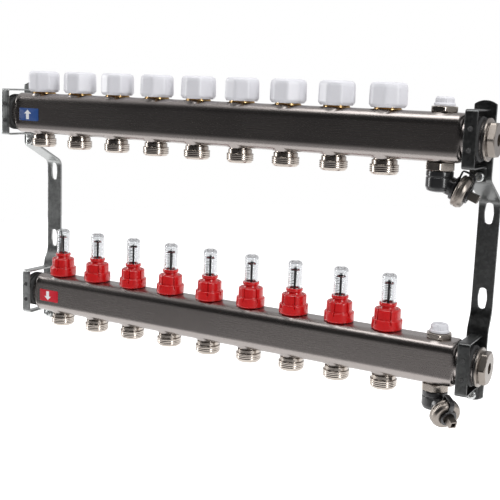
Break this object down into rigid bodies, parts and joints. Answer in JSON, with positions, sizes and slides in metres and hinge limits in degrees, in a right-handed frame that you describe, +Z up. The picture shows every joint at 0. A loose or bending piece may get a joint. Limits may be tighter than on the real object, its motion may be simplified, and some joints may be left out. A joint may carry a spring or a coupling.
{
  "type": "underfloor heating manifold",
  "caption": "Wall-hung heating manifold: return rail with white hand caps above a supply rail with red flow meters, vents, swivelling drains, plugs and two cranked wall brackets.",
  "frame": {"origin": "on the wall plane, midway between the two screw slots of the left wall strip", "axes": "+X along the rails from the open inlets to the plugs, +Y into the wall, +Z up"},
  "size_m": [0.5491, 0.0858, 0.3137],
  "materials": {
    "rail_steel": "brushed stainless, lengthwise grain",
    "nickel": "nickel plated brass, polished",
    "valve_brass": "turned brass",
    "pin_steel": "stainless, ground",
    "white_plastic": "moulded, satin gloss",
    "red_plastic": "moulded, glossy",
    "clear_plastic": "clear, polished",
    "float_plastic": "moulded, black rod and red disc",
    "black_plastic": "moulded, satin",
    "bracket_steel": "zinc plated sheet",
    "clamp_steel": "zinc plated strap",
    "screw_steel": "zinc plated",
    "black_rubber": "moulded, matt",
    "blue_label": "printed film",
    "red_label": "printed film"
  },
  "bodies": {
    "frame": {"return_rail": "rail_steel", "supply_rail": "rail_steel", "outlet_nipples": "nickel", "valve_inserts": "valve_brass", "meter_bases": "red_plastic", "sight_glasses": "clear_plastic", "left_wall_strip": "bracket_steel", "right_wall_strip": "bracket_steel", "clamp_straps": "clamp_steel", "rubber_seals": "black_rubber", "clamp_screws": "screw_steel", "end_plugs": "nickel", "vent_bodies": "nickel", "drain_nipples": "nickel", "return_label": "blue_label", "supply_label": "red_label"},
    "return_valve_pin_1": {"valve_pin_1": "pin_steel"},
    "return_hand_cap_1": {"return_cap_1": "white_plastic"},
    "meter_knob_1": {"flow_knob_1": "red_plastic"},
    "meter_float_1": {"flow_float_1": "float_plastic"},
    "return_valve_pin_2": {"valve_pin_2": "pin_steel"},
    "return_hand_cap_2": {"return_cap_2": "white_plastic"},
    "meter_knob_2": {"flow_knob_2": "red_plastic"},
    "meter_float_2": {"flow_float_2": "float_plastic"},
    "return_valve_pin_3": {"valve_pin_3": "pin_steel"},
    "return_hand_cap_3": {"return_cap_3": "white_plastic"},
    "meter_knob_3": {"flow_knob_3": "red_plastic"},
    "meter_float_3": {"flow_float_3": "float_plastic"},
    "return_valve_pin_4": {"valve_pin_4": "pin_steel"},
    "return_hand_cap_4": {"return_cap_4": "white_plastic"},
    "meter_knob_4": {"flow_knob_4": "red_plastic"},
    "meter_float_4": {"flow_float_4": "float_plastic"},
    "return_valve_pin_5": {"valve_pin_5": "pin_steel"},
    "return_hand_cap_5": {"return_cap_5": "white_plastic"},
    "meter_knob_5": {"flow_knob_5": "red_plastic"},
    "meter_float_5": {"flow_float_5": "float_plastic"},
    "return_valve_pin_6": {"valve_pin_6": "pin_steel"},
    "return_hand_cap_6": {"return_cap_6": "white_plastic"},
    "meter_knob_6": {"flow_knob_6": "red_plastic"},
    "meter_float_6": {"flow_float_6": "float_plastic"},
    "return_valve_pin_7": {"valve_pin_7": "pin_steel"},
    "return_hand_cap_7": {"return_cap_7": "white_plastic"},
    "meter_knob_7": {"flow_knob_7": "red_plastic"},
    "meter_float_7": {"flow_float_7": "float_plastic"},
    "return_valve_pin_8": {"valve_pin_8": "pin_steel"},
    "return_hand_cap_8": {"return_cap_8": "white_plastic"},
    "meter_knob_8": {"flow_knob_8": "red_plastic"},
    "meter_float_8": {"flow_float_8": "float_plastic"},
    "return_valve_pin_9": {"valve_pin_9": "pin_steel"},
    "return_hand_cap_9": {"return_cap_9": "white_plastic"},
    "meter_knob_9": {"flow_knob_9": "red_plastic"},
    "meter_float_9": {"flow_float_9": "float_plastic"},
    "return_vent": {"return_vent_screw": "white_plastic"},
    "return_drain": {"return_drain_body": "black_plastic", "return_drain_strap": "black_plastic"},
    "return_drain_closure": {"return_drain_cap": "nickel"},
    "supply_vent": {"supply_vent_screw": "white_plastic"},
    "supply_drain": {"supply_drain_body": "black_plastic", "supply_drain_strap": "black_plastic"},
    "supply_drain_closure": {"supply_drain_cap": "nickel"}
  },
  "joints": [
    {"name": "pin_lift_1", "type": "slide", "parent": "frame", "child": "return_valve_pin_1", "axis": [0, 0, 1], "range_m": [0, 0.0045]},
    {"name": "cap_turn_1", "type": "hinge", "parent": "return_valve_pin_1", "child": "return_hand_cap_1", "pos_m": [0.038, -0.062, 0.14], "axis": [0, 0, 1], "range_deg": [0, 1080]},
    {"name": "knob_turn_1", "type": "hinge", "parent": "frame", "child": "meter_knob_1", "pos_m": [0.038, -0.03, -0.068], "axis": [0, 0, 1], "range_deg": [0, 900]},
    {"name": "float_slide_1", "type": "slide", "parent": "frame", "child": "meter_float_1", "axis": [0, 0, 1], "range_m": [-0.013, 0], "stiffness_N_per_m": 20, "springref_m": 0.004},
    {"name": "pin_lift_2", "type": "slide", "parent": "frame", "child": "return_valve_pin_2", "axis": [0, 0, 1], "range_m": [0, 0.0045]},
    {"name": "cap_turn_2", "type": "hinge", "parent": "return_valve_pin_2", "child": "return_hand_cap_2", "pos_m": [0.088, -0.062, 0.14], "axis": [0, 0, 1], "range_deg": [0, 1080]},
    {"name": "knob_turn_2", "type": "hinge", "parent": "frame", "child": "meter_knob_2", "pos_m": [0.088, -0.03, -0.068], "axis": [0, 0, 1], "range_deg": [0, 900]},
    {"name": "float_slide_2", "type": "slide", "parent": "frame", "child": "meter_float_2", "axis": [0, 0, 1], "range_m": [-0.013, 0], "stiffness_N_per_m": 20, "springref_m": 0.004},
    {"name": "pin_lift_3", "type": "slide", "parent": "frame", "child": "return_valve_pin_3", "axis": [0, 0, 1], "range_m": [0, 0.0045]},
    {"name": "cap_turn_3", "type": "hinge", "parent": "return_valve_pin_3", "child": "return_hand_cap_3", "pos_m": [0.138, -0.062, 0.14], "axis": [0, 0, 1], "range_deg": [0, 1080]},
    {"name": "knob_turn_3", "type": "hinge", "parent": "frame", "child": "meter_knob_3", "pos_m": [0.138, -0.03, -0.068], "axis": [0, 0, 1], "range_deg": [0, 900]},
    {"name": "float_slide_3", "type": "slide", "parent": "frame", "child": "meter_float_3", "axis": [0, 0, 1], "range_m": [-0.013, 0], "stiffness_N_per_m": 20, "springref_m": 0.004},
    {"name": "pin_lift_4", "type": "slide", "parent": "frame", "child": "return_valve_pin_4", "axis": [0, 0, 1], "range_m": [0, 0.0045]},
    {"name": "cap_turn_4", "type": "hinge", "parent": "return_valve_pin_4", "child": "return_hand_cap_4", "pos_m": [0.188, -0.062, 0.14], "axis": [0, 0, 1], "range_deg": [0, 1080]},
    {"name": "knob_turn_4", "type": "hinge", "parent": "frame", "child": "meter_knob_4", "pos_m": [0.188, -0.03, -0.068], "axis": [0, 0, 1], "range_deg": [0, 900]},
    {"name": "float_slide_4", "type": "slide", "parent": "frame", "child": "meter_float_4", "axis": [0, 0, 1], "range_m": [-0.013, 0], "stiffness_N_per_m": 20, "springref_m": 0.004},
    {"name": "pin_lift_5", "type": "slide", "parent": "frame", "child": "return_valve_pin_5", "axis": [0, 0, 1], "range_m": [0, 0.0045]},
    {"name": "cap_turn_5", "type": "hinge", "parent": "return_valve_pin_5", "child": "return_hand_cap_5", "pos_m": [0.238, -0.062, 0.14], "axis": [0, 0, 1], "range_deg": [0, 1080]},
    {"name": "knob_turn_5", "type": "hinge", "parent": "frame", "child": "meter_knob_5", "pos_m": [0.238, -0.03, -0.068], "axis": [0, 0, 1], "range_deg": [0, 900]},
    {"name": "float_slide_5", "type": "slide", "parent": "frame", "child": "meter_float_5", "axis": [0, 0, 1], "range_m": [-0.013, 0], "stiffness_N_per_m": 20, "springref_m": 0.004},
    {"name": "pin_lift_6", "type": "slide", "parent": "frame", "child": "return_valve_pin_6", "axis": [0, 0, 1], "range_m": [0, 0.0045]},
    {"name": "cap_turn_6", "type": "hinge", "parent": "return_valve_pin_6", "child": "return_hand_cap_6", "pos_m": [0.288, -0.062, 0.14], "axis": [0, 0, 1], "range_deg": [0, 1080]},
    {"name": "knob_turn_6", "type": "hinge", "parent": "frame", "child": "meter_knob_6", "pos_m": [0.288, -0.03, -0.068], "axis": [0, 0, 1], "range_deg": [0, 900]},
    {"name": "float_slide_6", "type": "slide", "parent": "frame", "child": "meter_float_6", "axis": [0, 0, 1], "range_m": [-0.013, 0], "stiffness_N_per_m": 20, "springref_m": 0.004},
    {"name": "pin_lift_7", "type": "slide", "parent": "frame", "child": "return_valve_pin_7", "axis": [0, 0, 1], "range_m": [0, 0.0045]},
    {"name": "cap_turn_7", "type": "hinge", "parent": "return_valve_pin_7", "child": "return_hand_cap_7", "pos_m": [0.338, -0.062, 0.14], "axis": [0, 0, 1], "range_deg": [0, 1080]},
    {"name": "knob_turn_7", "type": "hinge", "parent": "frame", "child": "meter_knob_7", "pos_m": [0.338, -0.03, -0.068], "axis": [0, 0, 1], "range_deg": [0, 900]},
    {"name": "float_slide_7", "type": "slide", "parent": "frame", "child": "meter_float_7", "axis": [0, 0, 1], "range_m": [-0.013, 0], "stiffness_N_per_m": 20, "springref_m": 0.004},
    {"name": "pin_lift_8", "type": "slide", "parent": "frame", "child": "return_valve_pin_8", "axis": [0, 0, 1], "range_m": [0, 0.0045]},
    {"name": "cap_turn_8", "type": "hinge", "parent": "return_valve_pin_8", "child": "return_hand_cap_8", "pos_m": [0.388, -0.062, 0.14], "axis": [0, 0, 1], "range_deg": [0, 1080]},
    {"name": "knob_turn_8", "type": "hinge", "parent": "frame", "child": "meter_knob_8", "pos_m": [0.388, -0.03, -0.068], "axis": [0, 0, 1], "range_deg": [0, 900]},
    {"name": "float_slide_8", "type": "slide", "parent": "frame", "child": "meter_float_8", "axis": [0, 0, 1], "range_m": [-0.013, 0], "stiffness_N_per_m": 20, "springref_m": 0.004},
    {"name": "pin_lift_9", "type": "slide", "parent": "frame", "child": "return_valve_pin_9", "axis": [0, 0, 1], "range_m": [0, 0.0045]},
    {"name": "cap_turn_9", "type": "hinge", "parent": "return_valve_pin_9", "child": "return_hand_cap_9", "pos_m": [0.438, -0.062, 0.14], "axis": [0, 0, 1], "range_deg": [0, 1080]},
    {"name": "knob_turn_9", "type": "hinge", "parent": "frame", "child": "meter_knob_9", "pos_m": [0.438, -0.03, -0.068], "axis": [0, 0, 1], "range_deg": [0, 900]},
    {"name": "float_slide_9", "type": "slide", "parent": "frame", "child": "meter_float_9", "axis": [0, 0, 1], "range_m": [-0.013, 0], "stiffness_N_per_m": 20, "springref_m": 0.004},
    {"name": "return_vent_turn", "type": "hinge", "parent": "frame", "child": "return_vent", "pos_m": [0.49, -0.062, 0.14], "axis": [0, 0, 1], "range_deg": [0, 540]},
    {"name": "return_drain_swivel", "type": "hinge", "parent": "frame", "child": "return_drain", "pos_m": [0.49, -0.062, 0.072], "axis": [0, 0, 1], "range_deg": [-145, 0]},
    {"name": "return_drain_cap_turn", "type": "hinge", "parent": "return_drain", "child": "return_drain_closure", "pos_m": [0.50847, -0.06038, 0.06451], "axis": [0.9237, 0.0808, -0.3746], "range_deg": [-720, 0]},
    {"name": "supply_vent_turn", "type": "hinge", "parent": "frame", "child": "supply_vent", "pos_m": [0.49, -0.03, -0.068], "axis": [0, 0, 1], "range_deg": [0, 540]},
    {"name": "supply_drain_swivel", "type": "hinge", "parent": "frame", "child": "supply_drain", "pos_m": [0.49, -0.03, -0.136], "axis": [0, 0, 1], "range_deg": [-99, 46]},
    {"name": "supply_drain_cap_turn", "type": "hinge", "parent": "supply_drain", "child": "supply_drain_closure", "pos_m": [0.50399, -0.04217, -0.14349], "axis": [0.6998, -0.6083, -0.3746], "range_deg": [-720, 0]}
  ],
  "couplings": [
    {"joint": "cap_turn_1", "follows": "pin_lift_1", "rad_per_m": 4188.8},
    {"joint": "cap_turn_2", "follows": "pin_lift_2", "rad_per_m": 4188.8},
    {"joint": "cap_turn_3", "follows": "pin_lift_3", "rad_per_m": 4188.8},
    {"joint": "cap_turn_4", "follows": "pin_lift_4", "rad_per_m": 4188.8},
    {"joint": "cap_turn_5", "follows": "pin_lift_5", "rad_per_m": 4188.8},
    {"joint": "cap_turn_6", "follows": "pin_lift_6", "rad_per_m": 4188.8},
    {"joint": "cap_turn_7", "follows": "pin_lift_7", "rad_per_m": 4188.8},
    {"joint": "cap_turn_8", "follows": "pin_lift_8", "rad_per_m": 4188.8},
    {"joint": "cap_turn_9", "follows": "pin_lift_9", "rad_per_m": 4188.8}
  ]
}
